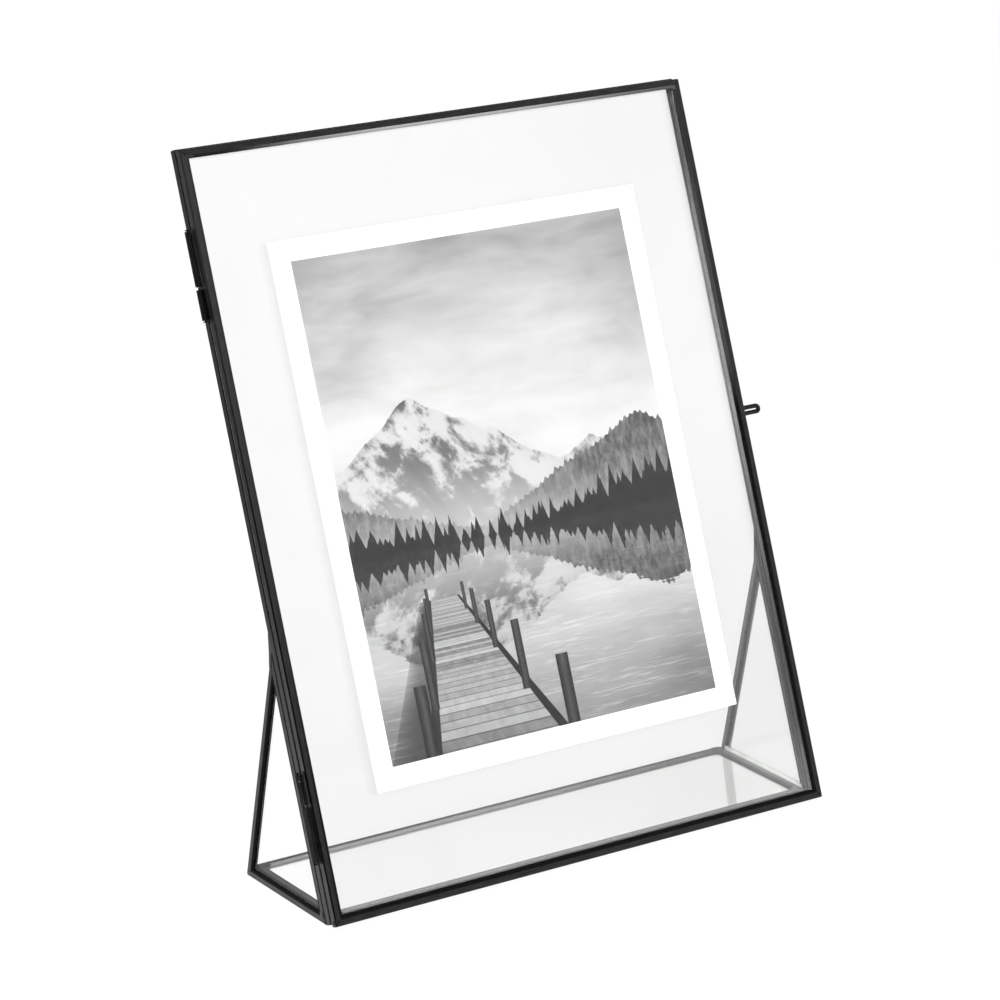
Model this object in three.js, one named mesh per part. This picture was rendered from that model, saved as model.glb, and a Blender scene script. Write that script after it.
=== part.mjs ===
// Floating picture frame: two hinged glass leaves that hold a print between them, on a glass prism stand.
// Millimetres, +Z up. The object faces -Y and leans back towards +Y. The origin is on the table, under the
// middle of the stand's front rail.
import * as THREE from 'three';

// Leaves: the door in front and the fixed back leaf behind it have the same outline.
const leaf_width = 215;
const leaf_height = 276;
const lean_degrees = 20.5;
const leaf_gap = 0.8; // between the closed door and the back leaf
const leaf_lift = 0.2; // from the table up to the back leaf's lowest edge
const door_drop = 0.8; // how much lower the door hangs than the back leaf

// Metal channel that edges every pane.
const channel_thickness = 3.0;
const channel_reach = 3.2; // from the outer edge in to the lip's tip
const lip_flat = 2.2; // flat part of the lip, before its sloping inner edge
const lip_wall = 0.5;
const lip_tip = 0.15; // thickness left at the lip's tip
const web_wall = 0.6;
const edge_round = 0.4;
const edge_round_steps = 3;

// Glass.
const leaf_glass_thickness = 2.0;
const stand_glass_thickness = 1.4;
const glass_face_clearance = 0.3; // from a lip to the pane
const glass_edge_clearance = 0.4; // from the web to the pane's edge

// Print that floats between the two leaves.
const print_width = 158;
const print_height = 198;
const print_thickness = 0.4;
const print_from_leaf_bottom = 40.8;

// Stand: a flat base panel between two triangular side panels.
const base_depth = 54;
const apex_from_leaf_bottom = 98; // where the side panels end, measured up the slope

// Fits between metal pieces.
const joint_gap = 0.3;

// Hinges on the left side. Each has a long knuckle on the back leaf and a short one on the door.
const upper_hinge_from_top = 29;
const lower_hinge_from_bottom = 22.4;
const long_knuckle_length = 19.5;
const short_knuckle_length = 10.8;
const knuckle_gap = 1.2;
const knuckle_radius = 1.1;
const knuckle_wall = 0.45;
const hinge_plate_thickness = 0.4;
const hinge_plate_width = 3.1; // from the pin's axis across the leaf's side
const pin_clearance = 0.3;
const pin_head_radius = 0.85;
const pin_head_height = 0.4;
const round_sides = 24;
const pin_sides = 16;

// Pull loop of bent wire on the door's right side.
const pull_from_door_bottom = 148.5;
const pull_wire_diameter = 1.4;
const pull_slot = 0.6;
const pull_reach = 7.8; // from the door's side to the loop's tip
const pull_sides = 12;
const pull_bend_steps = 14;
const pull_length_steps = 42;

// Sizes that follow from the ones above.
const lean = THREE.MathUtils.degToRad(lean_degrees);
const half_width = leaf_width / 2;
const pane_inset = web_wall + glass_edge_clearance;
const door_front = -(2 * channel_thickness + leaf_gap); // the leaves' depth is counted back from here to 0
const door_middle = door_front + channel_thickness / 2;
const between_leaves = -(channel_thickness + leaf_gap / 2);
// The middle of a rail's flat underside, from its outer edge.
const rest_face_middle = (edge_round + lip_flat) / 2;
const base_front = -rest_face_middle;
const base_rear = base_front + base_depth;
const base_half_width = half_width - channel_thickness - joint_gap;
const leaf_foot = base_front - (channel_thickness - leaf_lift) * Math.tan(lean) - joint_gap / Math.cos(lean);
const knuckle_bore = knuckle_radius - knuckle_wall;
const pin_radius = knuckle_bore - pin_clearance;
const hinge_axis_x = -(half_width + joint_gap + knuckle_radius);
const hinge_length = long_knuckle_length + knuckle_gap + short_knuckle_length;
const upper_hinge_bottom = leaf_height - upper_hinge_from_top - hinge_length;

const AXIS_X = new THREE.Vector3(1, 0, 0);
const AXIS_Y = new THREE.Vector3(0, 1, 0);
const AXIS_Z = new THREE.Vector3(0, 0, 1);

const black_metal = { color: 0x1b1b1c, roughness: 0.38, metalness: 0.55 };
const bare_metal = { color: 0xb9b6ae, roughness: 0.3, metalness: 1.0 };
const clear_glass = { color: 0xeef3f0, roughness: 0.04, metalness: 0.0, transparent: true, opacity: 0.25 };
const white_card = { color: 0xf4f4f2, roughness: 0.7, metalness: 0.0 };

function namedMesh(name, geometry, finish) {
  const mesh = new THREE.Mesh(geometry, new THREE.MeshStandardMaterial(finish));
  mesh.name = name;
  return mesh;
}

// Turns and places an object so that its own X, Y and Z run along the three directions.
function place(object, origin, x, y, z) {
  object.quaternion.setFromRotationMatrix(new THREE.Matrix4().makeBasis(x, y, z));
  object.position.copy(origin);
  return object;
}

// Quarter round of the channel's outer edge, about a centre, from one angle to another.
function quarterRound(centre_x, centre_y, from_degrees, to_degrees) {
  const points = [];
  for (let i = 0; i <= edge_round_steps; i += 1) {
    const degrees = THREE.MathUtils.lerp(from_degrees, to_degrees, i / edge_round_steps);
    const turn = THREE.MathUtils.degToRad(degrees);
    const x = centre_x + edge_round * Math.cos(turn);
    const y = centre_y + edge_round * Math.sin(turn);
    points.push(new THREE.Vector2(x, y));
  }
  return points;
}

// Section of the channel: X runs inwards from its outer edge, Y through its thickness from the outer face.
// A leaf's channel has one lip, on its outer face, and a stand panel's channel has two.
function channelSection(has_second_lip) {
  const lip = [
    new THREE.Vector2(lip_flat, 0),
    new THREE.Vector2(channel_reach, lip_wall - lip_tip),
    new THREE.Vector2(channel_reach, lip_wall),
    new THREE.Vector2(web_wall, lip_wall),
  ];
  const second_lip = lip.map((point) => new THREE.Vector2(point.x, channel_thickness - point.y)).reverse();
  const open_side = [new THREE.Vector2(web_wall, channel_thickness)];
  return new THREE.Shape([
    ...lip,
    ...(has_second_lip ? second_lip : open_side),
    ...quarterRound(edge_round, channel_thickness - edge_round, 90, 180),
    ...quarterRound(edge_round, edge_round, 180, 270),
  ]);
}

// How far a mitre at a corner cuts a rail back, at a distance in from its outer edge.
function mitreCut(inwards, corner_angle) {
  const half_angle = corner_angle / 2;
  return inwards / Math.tan(half_angle) + joint_gap / 2 / Math.sin(half_angle);
}

// A straight rail, mitred at both ends, along its own Z.
function railGeometry(section, length, start_angle, end_angle) {
  const geometry = new THREE.ExtrudeGeometry(section, { depth: length, bevelEnabled: false });
  const position = geometry.getAttribute('position');
  for (let i = 0; i < position.count; i += 1) {
    const at_start = position.getZ(i) < length / 2;
    const inwards = position.getX(i);
    const start = mitreCut(inwards, start_angle);
    const end = length - mitreCut(inwards, end_angle);
    position.setZ(i, at_start ? start : end);
  }
  geometry.computeVertexNormals();
  return geometry;
}

// Directions and angle at each corner of a panel's outline.
function cornerFacts(corners) {
  return corners.map((corner, i) => {
    const next = corners[(i + 1) % corners.length];
    const previous = corners[(i + corners.length - 1) % corners.length];
    const along = next.clone().sub(corner);
    const back = previous.clone().sub(corner);
    return { corner, length: along.length(), angle: along.angleTo(back), along: along.normalize() };
  });
}

// A pane edged by mitred rails. The corners lie on the panel's outer face and run counterclockwise about
// the direction that points from that face into the panel.
function edgedPane(panel) {
  const { corners, inward_face, rail_names, has_second_lip } = panel;
  const { glass_name, glass_thickness, glass_depth } = panel;
  const group = new THREE.Group();
  const section = channelSection(has_second_lip);
  const facts = cornerFacts(corners);
  facts.forEach(({ corner, along, length, angle }, i) => {
    const end_angle = facts[(i + 1) % facts.length].angle;
    const rail = namedMesh(rail_names[i], railGeometry(section, length, angle, end_angle), black_metal);
    group.add(place(rail, corner, inward_face.clone().cross(along), inward_face, along));
  });

  const across = facts[0].along;
  const up = inward_face.clone().cross(across);
  const outline = facts.map(({ corner, along, angle }) => {
    const bisector = along.clone().applyAxisAngle(inward_face, angle / 2);
    const point = corner.clone().addScaledVector(bisector, pane_inset / Math.sin(angle / 2)).sub(corners[0]);
    return new THREE.Vector2(point.dot(across), point.dot(up));
  });
  const pane_options = { depth: glass_thickness, bevelEnabled: false };
  const pane = new THREE.ExtrudeGeometry(new THREE.Shape(outline), pane_options);
  const pane_origin = corners[0].clone().addScaledVector(inward_face, glass_depth);
  group.add(place(namedMesh(glass_name, pane, clear_glass), pane_origin, across, up, inward_face));
  return group;
}

// One leaf of the frame. Its own X, Y and Z run across, back through the leaves and up the slope.
function leaf(prefix, outer_face, faces_front) {
  const bottom_left = new THREE.Vector3(-half_width, outer_face, 0);
  const bottom_right = new THREE.Vector3(half_width, outer_face, 0);
  const top_left = new THREE.Vector3(-half_width, outer_face, leaf_height);
  const top_right = new THREE.Vector3(half_width, outer_face, leaf_height);
  const names = {
    left: `${prefix}_left_stile`,
    top: `${prefix}_top_rail`,
    right: `${prefix}_right_stile`,
    bottom: `${prefix}_bottom_rail`,
  };
  return edgedPane({
    corners: faces_front
      ? [bottom_left, top_left, top_right, bottom_right]
      : [bottom_left, bottom_right, top_right, top_left],
    inward_face: faces_front ? AXIS_Y : AXIS_Y.clone().negate(),
    rail_names: faces_front
      ? [names.left, names.top, names.right, names.bottom]
      : [names.bottom, names.right, names.top, names.left],
    glass_name: `${prefix}_glass`,
    glass_thickness: leaf_glass_thickness,
    glass_depth: lip_wall + glass_face_clearance,
    has_second_lip: false,
  });
}

function printCard() {
  const sheet = new THREE.BoxGeometry(print_width, print_thickness, print_height);
  const card = namedMesh('print_card', sheet, white_card);
  card.position.set(0, between_leaves, print_from_leaf_bottom + print_height / 2);
  return card;
}

// Section of a knuckle with its plate: a ring with a flat plate tangent to the side that faces the leaf.
// The plate reaches along +Y for the back leaf and along -Y for the door.
function knuckleSection(plate_direction) {
  const plate_outer = knuckle_radius - hinge_plate_thickness;
  const meets_ring = Math.acos(plate_outer / knuckle_radius);
  const points = [
    new THREE.Vector2(knuckle_radius, plate_direction * hinge_plate_width),
    new THREE.Vector2(plate_outer, plate_direction * hinge_plate_width),
  ];
  for (let i = 0; i <= round_sides; i += 1) {
    const turn = THREE.MathUtils.lerp(meets_ring, 2 * Math.PI, i / round_sides);
    const x = knuckle_radius * Math.cos(turn);
    const y = plate_direction * knuckle_radius * Math.sin(turn);
    points.push(new THREE.Vector2(x, y));
  }
  const section = new THREE.Shape(points);
  const bore_runs_clockwise = plate_direction > 0; // against the outline's own direction
  section.holes.push(new THREE.Path().absarc(0, 0, knuckle_bore, 0, 2 * Math.PI, bore_runs_clockwise));
  return section;
}

function knuckle(name, plate_direction, length, bottom) {
  const options = { depth: length, bevelEnabled: false, curveSegments: round_sides / 2 };
  const solid = new THREE.ExtrudeGeometry(knuckleSection(plate_direction), options);
  const mesh = namedMesh(name, solid, black_metal);
  mesh.position.set(hinge_axis_x, between_leaves, bottom);
  return mesh;
}

// Wire pin with a peened head past each end of the knuckles.
function hingePin(name, bottom) {
  const top_seat = hinge_length + joint_gap;
  const profile = [
    new THREE.Vector2(0, -joint_gap - pin_head_height),
    new THREE.Vector2(pin_head_radius, -joint_gap - pin_head_height),
    new THREE.Vector2(pin_head_radius, -joint_gap),
    new THREE.Vector2(pin_radius, -joint_gap),
    new THREE.Vector2(pin_radius, top_seat),
    new THREE.Vector2(pin_head_radius, top_seat),
    new THREE.Vector2(pin_head_radius, top_seat + pin_head_height),
    new THREE.Vector2(0, top_seat + pin_head_height),
  ];
  const upright = new THREE.LatheGeometry(profile, pin_sides).rotateX(Math.PI / 2);
  const mesh = namedMesh(name, upright, bare_metal);
  mesh.position.set(hinge_axis_x, between_leaves, bottom);
  return mesh;
}

// The long knuckle lies at the hinge's outer end, towards the leaf's nearer corner.
function hinge(prefix, bottom, long_knuckle_on_top) {
  const lower_length = long_knuckle_on_top ? short_knuckle_length : long_knuckle_length;
  const second_bottom = bottom + lower_length + knuckle_gap;
  const long_bottom = long_knuckle_on_top ? second_bottom : bottom;
  const short_bottom = long_knuckle_on_top ? bottom : second_bottom;
  const group = new THREE.Group();
  group.add(knuckle(`${prefix}_back_leaf`, 1, long_knuckle_length, long_bottom));
  group.add(knuckle(`${prefix}_door_leaf`, -1, short_knuckle_length, short_bottom));
  group.add(hingePin(`${prefix}_pin`, bottom));
  return group;
}

// Centre line of the pull's wire: out from the door's side, round the tip and back.
function pullCentreLine() {
  const bend_radius = (pull_slot + pull_wire_diameter) / 2;
  const bend_centre = half_width + pull_reach - pull_wire_diameter / 2 - bend_radius;
  const root = half_width + joint_gap;
  const points = [new THREE.Vector3(root, 0, -bend_radius)];
  for (let i = 0; i <= pull_bend_steps; i += 1) {
    const turn = Math.PI * (i / pull_bend_steps - 0.5);
    const x = bend_centre + bend_radius * Math.cos(turn);
    points.push(new THREE.Vector3(x, 0, bend_radius * Math.sin(turn)));
  }
  points.push(new THREE.Vector3(root, 0, bend_radius));
  const path = new THREE.CurvePath();
  for (let i = 1; i < points.length; i += 1) {
    path.add(new THREE.LineCurve3(points[i - 1], points[i]));
  }
  return path;
}

function pullLoop() {
  const path = pullCentreLine();
  const wire = new THREE.Shape();
  wire.absarc(0, 0, pull_wire_diameter / 2, 0, 2 * Math.PI, false);
  const options = { steps: pull_length_steps, extrudePath: path, curveSegments: pull_sides / 2 };
  const mesh = namedMesh('pull_loop', new THREE.ExtrudeGeometry(wire, options), black_metal);
  mesh.position.set(0, door_middle, pull_from_door_bottom);
  return mesh;
}

function basePanel() {
  return edgedPane({
    corners: [
      new THREE.Vector3(-base_half_width, base_front, 0),
      new THREE.Vector3(base_half_width, base_front, 0),
      new THREE.Vector3(base_half_width, base_rear, 0),
      new THREE.Vector3(-base_half_width, base_rear, 0),
    ],
    inward_face: AXIS_Z,
    rail_names: ['base_front_rail', 'base_right_rail', 'base_rear_rail', 'base_left_rail'],
    glass_name: 'base_glass',
    glass_thickness: stand_glass_thickness,
    glass_depth: (channel_thickness - stand_glass_thickness) / 2,
    has_second_lip: true,
  });
}

// A point just behind the back leaf, a distance up its slope.
function behindLeaf(x, up_slope) {
  const y = leaf_foot + up_slope * Math.sin(lean) + joint_gap * Math.cos(lean);
  const z = leaf_lift + up_slope * Math.cos(lean) - joint_gap * Math.sin(lean);
  return new THREE.Vector3(x, y, z);
}

// Triangular side panel: a bar up the back leaf, a bar down to the rear and a bar along the table.
function sidePanel(side, x, faces_left) {
  const slope_at_table = -(leaf_lift - joint_gap * Math.sin(lean)) / Math.cos(lean);
  const front = behindLeaf(x, slope_at_table);
  const rear = new THREE.Vector3(x, base_rear, 0);
  const apex = behindLeaf(x, apex_from_leaf_bottom);
  const bars = { bottom: `${side}_bottom_bar`, rear: `${side}_rear_bar`, front: `${side}_front_bar` };
  return edgedPane({
    corners: faces_left ? [front, rear, apex] : [front, apex, rear],
    inward_face: faces_left ? AXIS_X : AXIS_X.clone().negate(),
    rail_names: faces_left ? [bars.bottom, bars.rear, bars.front] : [bars.front, bars.rear, bars.bottom],
    glass_name: `${side}_glass`,
    glass_thickness: stand_glass_thickness,
    glass_depth: (channel_thickness - stand_glass_thickness) / 2,
    has_second_lip: true,
  });
}

// Everything that leans, on axes of its own: X across, Y back through the leaves, Z up the slope.
const leaning = new THREE.Group();
leaning.position.set(0, leaf_foot, leaf_lift);
leaning.rotation.x = -lean;
const door = new THREE.Group();
door.position.z = -door_drop;
door.add(leaf('door', door_front, true));
door.add(pullLoop());
leaning.add(door);
leaning.add(leaf('back', 0, false));
leaning.add(printCard());
leaning.add(hinge('upper_hinge', upper_hinge_bottom, true));
leaning.add(hinge('lower_hinge', lower_hinge_from_bottom, false));

const frame = new THREE.Group();
frame.add(leaning);
frame.add(basePanel());
frame.add(sidePanel('left_side', -half_width, true));
frame.add(sidePanel('right_side', half_width, false));

export default frame;
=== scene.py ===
import math
import random

import bmesh
import bpy
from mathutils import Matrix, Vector


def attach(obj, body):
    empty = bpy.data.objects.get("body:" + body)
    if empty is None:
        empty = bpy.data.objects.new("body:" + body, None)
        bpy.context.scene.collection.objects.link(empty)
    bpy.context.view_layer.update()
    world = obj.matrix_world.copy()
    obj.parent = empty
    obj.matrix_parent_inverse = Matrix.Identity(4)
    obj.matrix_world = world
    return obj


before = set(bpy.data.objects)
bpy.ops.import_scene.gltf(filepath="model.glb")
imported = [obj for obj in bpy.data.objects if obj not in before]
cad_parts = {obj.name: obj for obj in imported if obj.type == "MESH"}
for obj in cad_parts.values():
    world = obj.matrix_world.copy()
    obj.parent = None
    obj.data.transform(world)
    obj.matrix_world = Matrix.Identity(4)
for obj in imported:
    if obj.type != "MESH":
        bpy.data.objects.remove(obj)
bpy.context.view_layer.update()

MM = 0.001

# Sizes of the CAD model that the looks are built on, in millimetres.
LEAN = math.radians(20.5)
HALF_WIDTH = 107.5
LEAF_HEIGHT = 276.0
LEAF_LIFT = 0.2
DOOR_DROP = 0.8
LEAF_GAP = 0.8
CHANNEL_THICKNESS = 3.0
EDGE_ROUND = 0.4
LIP_FLAT = 2.2
JOINT_GAP = 0.3
BASE_FRONT = -(EDGE_ROUND + LIP_FLAT) / 2
BASE_DEPTH = 54.0
BASE_REAR = BASE_FRONT + BASE_DEPTH
BASE_HALF_WIDTH = HALF_WIDTH - CHANNEL_THICKNESS - JOINT_GAP
APEX = 98.0
LEAF_FOOT = BASE_FRONT - (CHANNEL_THICKNESS - LEAF_LIFT) * math.tan(LEAN) - JOINT_GAP / math.cos(LEAN)
DOOR_FRONT = -(2 * CHANNEL_THICKNESS + LEAF_GAP)
PRINT_WIDTH, PRINT_HEIGHT, PRINT_BOTTOM = 158.0, 198.0, 40.8
PRINT_BORDER = 7.8
PRINT_MIDDLE = -(CHANNEL_THICKNESS + LEAF_GAP / 2)
HINGE_FROM_TOP, HINGE_FROM_BOTTOM = 29.0, 22.4
LONG_KNUCKLE, KNUCKLE_GAP = 19.5, 1.2
UPPER_KNUCKLE_GAP = LEAF_HEIGHT - HINGE_FROM_TOP - LONG_KNUCKLE - KNUCKLE_GAP / 2
LOWER_KNUCKLE_GAP = HINGE_FROM_BOTTOM + LONG_KNUCKLE + KNUCKLE_GAP / 2
PULL_FROM_DOOR_BOTTOM, PULL_REACH = 148.5, 7.8


def leaning(x, n, s):
    """The point, in the CAD model's millimetres, of a place across, through the leaves and up their slope."""
    y = LEAF_FOOT + s * math.sin(LEAN) + n * math.cos(LEAN)
    z = LEAF_LIFT + s * math.cos(LEAN) - n * math.sin(LEAN)
    return Vector((x, y, z))


# Node trees


class Num:
    """A number inside a node tree, with Python's own signs for its sums."""

    def __init__(self, tree, socket):
        self.tree, self.socket = tree, socket

    def _math(self, operation, *others):
        node = self.tree.nodes.new("ShaderNodeMath")
        node.operation = operation
        for slot, value in zip(node.inputs, others):
            if isinstance(value, Num):
                self.tree.links.new(value.socket, slot)
            else:
                slot.default_value = value
        return Num(self.tree, node.outputs[0])

    def __add__(self, other):
        return self._math("ADD", self, other)

    def __sub__(self, other):
        return self._math("SUBTRACT", self, other)

    def __mul__(self, other):
        return self._math("MULTIPLY", self, other)

    def __truediv__(self, other):
        return self._math("DIVIDE", self, other)

    def __rsub__(self, other):
        return self._math("SUBTRACT", other, self)

    def __rtruediv__(self, other):
        return self._math("DIVIDE", other, self)

    __radd__, __rmul__ = __add__, __mul__

    def __lt__(self, other):
        return self._math("LESS_THAN", self, other)

    def __gt__(self, other):
        return self._math("GREATER_THAN", self, other)

    def low(self, other):
        return self._math("MINIMUM", self, other)

    def high(self, other):
        return self._math("MAXIMUM", self, other)

    def size(self):
        return self._math("ABSOLUTE", self)

    def floor(self):
        return self._math("FLOOR", self)

    def part(self):
        return self._math("FRACT", self)

    def power(self, other):
        return self._math("POWER", self, other)

    def ramp(self, start, end, low=0.0, high=1.0):
        """Runs smoothly from low to high as the number goes from start to end."""
        node = self.tree.nodes.new("ShaderNodeMapRange")
        node.interpolation_type = "SMOOTHSTEP"
        self.tree.links.new(self.socket, node.inputs["Value"])
        for name, value in (("From Min", start), ("From Max", end), ("To Min", low), ("To Max", high)):
            if isinstance(value, Num):
                self.tree.links.new(value.socket, node.inputs[name])
            else:
                node.inputs[name].default_value = value
        return Num(self.tree, node.outputs["Result"])

    def mix(self, low, high):
        """low where the number is 0 and high where it is 1."""
        return (high - low) * self + low


class Shader:
    """A material whose nodes are made in order, with the piece's own coordinates in millimetres."""

    def __init__(self, name):
        self.material = bpy.data.materials.new(name)
        self.material.use_nodes = True
        self.tree = self.material.node_tree
        self.tree.nodes.clear()
        self.output = self.tree.nodes.new("ShaderNodeOutputMaterial")
        coordinates = self.tree.nodes.new("ShaderNodeTexCoord")
        scale = self.tree.nodes.new("ShaderNodeVectorMath")
        scale.operation = "SCALE"
        scale.inputs["Scale"].default_value = 1 / MM
        self.tree.links.new(coordinates.outputs["Object"], scale.inputs[0])
        self.place = scale.outputs[0]

    def axes(self):
        split = self.tree.nodes.new("ShaderNodeSeparateXYZ")
        self.tree.links.new(self.place, split.inputs[0])
        return [Num(self.tree, split.outputs[k]) for k in range(3)]

    def leaf_axes(self):
        """Across, back through the leaves and up their slope, in millimetres."""
        x, y, z = self.axes()
        y, z = y - LEAF_FOOT, z - LEAF_LIFT
        up = y * math.sin(LEAN) + z * math.cos(LEAN)
        through = y * math.cos(LEAN) - z * math.sin(LEAN)
        return x, through, up

    def grey(self, value):
        node = self.tree.nodes.new("ShaderNodeCombineColor")
        for slot in node.inputs[:3]:
            self.tree.links.new(value.socket, slot)
        return node.outputs[0]

    def join(self, *values):
        node = self.tree.nodes.new("ShaderNodeCombineXYZ")
        for slot, value in zip(node.inputs, values):
            if isinstance(value, Num):
                self.tree.links.new(value.socket, slot)
            else:
                slot.default_value = value
        return node.outputs[0]

    def noise(self, vector=None, scale=1.0, detail=4.0, roughness=0.55, distortion=0.0):
        node = self.tree.nodes.new("ShaderNodeTexNoise")
        node.noise_type = "FBM"
        self.tree.links.new(vector or self.place, node.inputs["Vector"])
        node.inputs["Scale"].default_value = scale
        node.inputs["Detail"].default_value = detail
        node.inputs["Roughness"].default_value = roughness
        node.inputs["Distortion"].default_value = distortion
        return Num(self.tree, node.outputs[0])

    def speckle(self, vector):
        node = self.tree.nodes.new("ShaderNodeTexWhiteNoise")
        self.tree.links.new(vector, node.inputs["Vector"])
        return Num(self.tree, node.outputs["Value"])

    def stretched(self, x, y, z):
        node = self.tree.nodes.new("ShaderNodeVectorMath")
        node.operation = "MULTIPLY"
        node.inputs[1].default_value = (x, y, z)
        self.tree.links.new(self.place, node.inputs[0])
        return node.outputs[0]

    def tint(self, value, dark, light):
        """A colour between two, by a number from 0 to 1."""
        node = self.tree.nodes.new("ShaderNodeMix")
        node.data_type = "RGBA"
        self.tree.links.new(value.socket, node.inputs[0])
        node.inputs[6].default_value = (*dark, 1)
        node.inputs[7].default_value = (*light, 1)
        return node.outputs[2]

    def bump(self, height, strength, distance_mm):
        node = self.tree.nodes.new("ShaderNodeBump")
        node.inputs["Strength"].default_value = strength
        node.inputs["Distance"].default_value = distance_mm * MM
        self.tree.links.new(height.socket, node.inputs["Height"])
        return node.outputs["Normal"]

    def principled(self, **inputs):
        node = self.tree.nodes.new("ShaderNodeBsdfPrincipled")
        for name, value in inputs.items():
            slot = node.inputs[name.replace("_", " ")]
            if isinstance(value, Num):
                self.tree.links.new(value.socket, slot)
            elif isinstance(value, bpy.types.NodeSocket):
                self.tree.links.new(value, slot)
            else:
                slot.default_value = value
        return node

    def finish(self, node):
        self.tree.links.new(node.outputs[0], self.output.inputs["Surface"])
        return self.material


# Metal. The stretches draw the patina's streaks out along a bar.

ALONG_SLOPE, ALONG_X, ALONG_Y = (1, 0.3, 0.1), (0.1, 1, 1), (1, 0.1, 1)
BLACK, WORN_BLACK = 0.0035, 0.0105


# Painted light: paler towards the table.
def low_painted_light(shader):
    return shader.axes()[2].ramp(6, 27, 0.07, 0.0)


# Painted light: paler towards the right.
def rear_painted_light(shader):
    return shader.axes()[0].ramp(-66, 10, 0.0, 0.085)


def patina(shader, along):
    """Tone, roughness, sheen and bump of a patina that is streaked, clouded and grained."""
    streaks = shader.noise(shader.stretched(*along), scale=1.6, detail=5)
    clouds = shader.noise(scale=0.06, detail=3)
    grain = shader.noise(scale=5.5, detail=3)
    tone = (streaks * 0.5 + clouds * 0.5).ramp(0.3, 0.72)
    rough = clouds.ramp(0.25, 0.75, 0.26, 0.38) + (grain - 0.5) * 0.1
    sheen = (streaks * 0.6 + grain * 0.4).ramp(0.35, 0.65, 0.34, 0.62)
    normal = shader.bump(grain * 0.35 + streaks * 0.65, 0.32, 0.1)
    return tone, rough, sheen, normal


def black_metal(name, along=ALONG_SLOPE, gloss=1.38, dark=BLACK, light=WORN_BLACK, painted_light=None):
    """Black patina on thin metal: satin, faintly streaked along, and paler where painted light is added."""
    shader = Shader(name)
    tone, rough, sheen, normal = patina(shader, along)
    # Where given, the added tone is painted light that makes the black paler in places.
    if painted_light:
        colour = shader.grey(tone.mix(dark, light) + painted_light(shader))
    else:
        colour = shader.tint(tone, (dark, dark, dark * 1.04), (light, light, light * 0.99))
    return shader.finish(shader.principled(
        Base_Color=colour, Roughness=rough, IOR=gloss, Specular_IOR_Level=sheen, Normal=normal))


def stile_metal():
    """The door's left stile: painted light makes it paler up the slope, and painted shade blackens each edge
    of its side, most low down.
    """
    shader = Shader("door_stile_metal")
    x, n, s = shader.leaf_axes()
    tone, rough, sheen, normal = patina(shader, ALONG_SLOPE)
    # Painted shade along both edges of the side, strongest low down; the sheen is dulled there too.
    front = (n < DOOR_FRONT + 0.45) * (x < 0.42 - HALF_WIDTH)
    rear = (n > DOOR_FRONT + CHANNEL_THICKNESS - 0.42) * (x < 0.6 - HALF_WIDTH)
    edge_shade = front.high(rear) * s.ramp(90, 250, 1.0, 0.35)
    # Painted light: paler up the slope.
    lit_tone = tone.mix(BLACK, WORN_BLACK) + s.ramp(40, 250, 0.0, 0.011)
    colour = shader.grey(edge_shade.mix(lit_tone, 0.001))
    sheen = sheen * edge_shade.mix(1.0, 0.12)
    return shader.finish(shader.principled(
        Base_Color=colour, Roughness=rough, IOR=1.38, Specular_IOR_Level=sheen, Normal=normal))


# Sealant and solder


def sealant(shader, lumps, value, smooth, rough):
    """Dull, slightly lumpy sealant of a grey value."""
    normal = shader.bump(lumps, 0.3, 0.08)
    return shader.finish(shader.principled(
        Base_Color=shader.grey(value), Roughness=lumps.ramp(0.2, 0.8, smooth, rough), IOR=1.2, Normal=normal))


def lining_with_painted_light(s):
    """The grey of the sealant inside the back leaf, with painted light by height: dim low down, palest from
    about 175 to 205 mm up, dim again at the top and pale at the very foot.
    """
    return s.ramp(60, 175, 0.15, 0.47) * s.ramp(205, 251, 1.0, 0.32) + s.ramp(5, 32, 0.2, 0.0)


def back_putty_look():
    """The back leaf's sealant: black from behind, grey with painted light by height where it faces the panes.
    """
    shader = Shader("back_sealant")
    x, n, s = shader.leaf_axes()
    lumps = shader.noise(scale=1.4, detail=4)
    black = lumps.ramp(0.3, 0.7, 0.0015, 0.006)
    # Painted light by height on the side that faces the panes.
    facing = (n < -0.3) * lining_with_painted_light(s) * lumps.ramp(0.3, 0.7, 0.5, 0.62)
    return sealant(shader, lumps, facing + black, 0.6, 0.8)


def base_putty_look():
    """The base's sealant: black, with painted light along the rear, the right and a little at the front."""
    shader = Shader("base_sealant")
    x, y, z = shader.axes()
    lumps = shader.noise(scale=1.4, detail=4)
    # Painted light along the rear bead: palest a little left of the middle, least at the right end.
    along = x.ramp(-100, -30, 0.62, 1.0) * x.ramp(-20, 100, 0.4, 0.15)
    rear = y.ramp(BASE_REAR - 6, BASE_REAR - 4.5) * along
    front = y.ramp(BASE_FRONT + 3.6, BASE_FRONT + 5, 0.12, 0.0)
    right = x.ramp(BASE_HALF_WIDTH - 5, BASE_HALF_WIDTH - 3.6, 0.0, 0.09)
    value = (rear.high(right) + front + 0.002) * lumps.ramp(0.25, 0.75, 0.8, 1.1)
    return sealant(shader, lumps, value, 0.6, 0.8)


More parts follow.
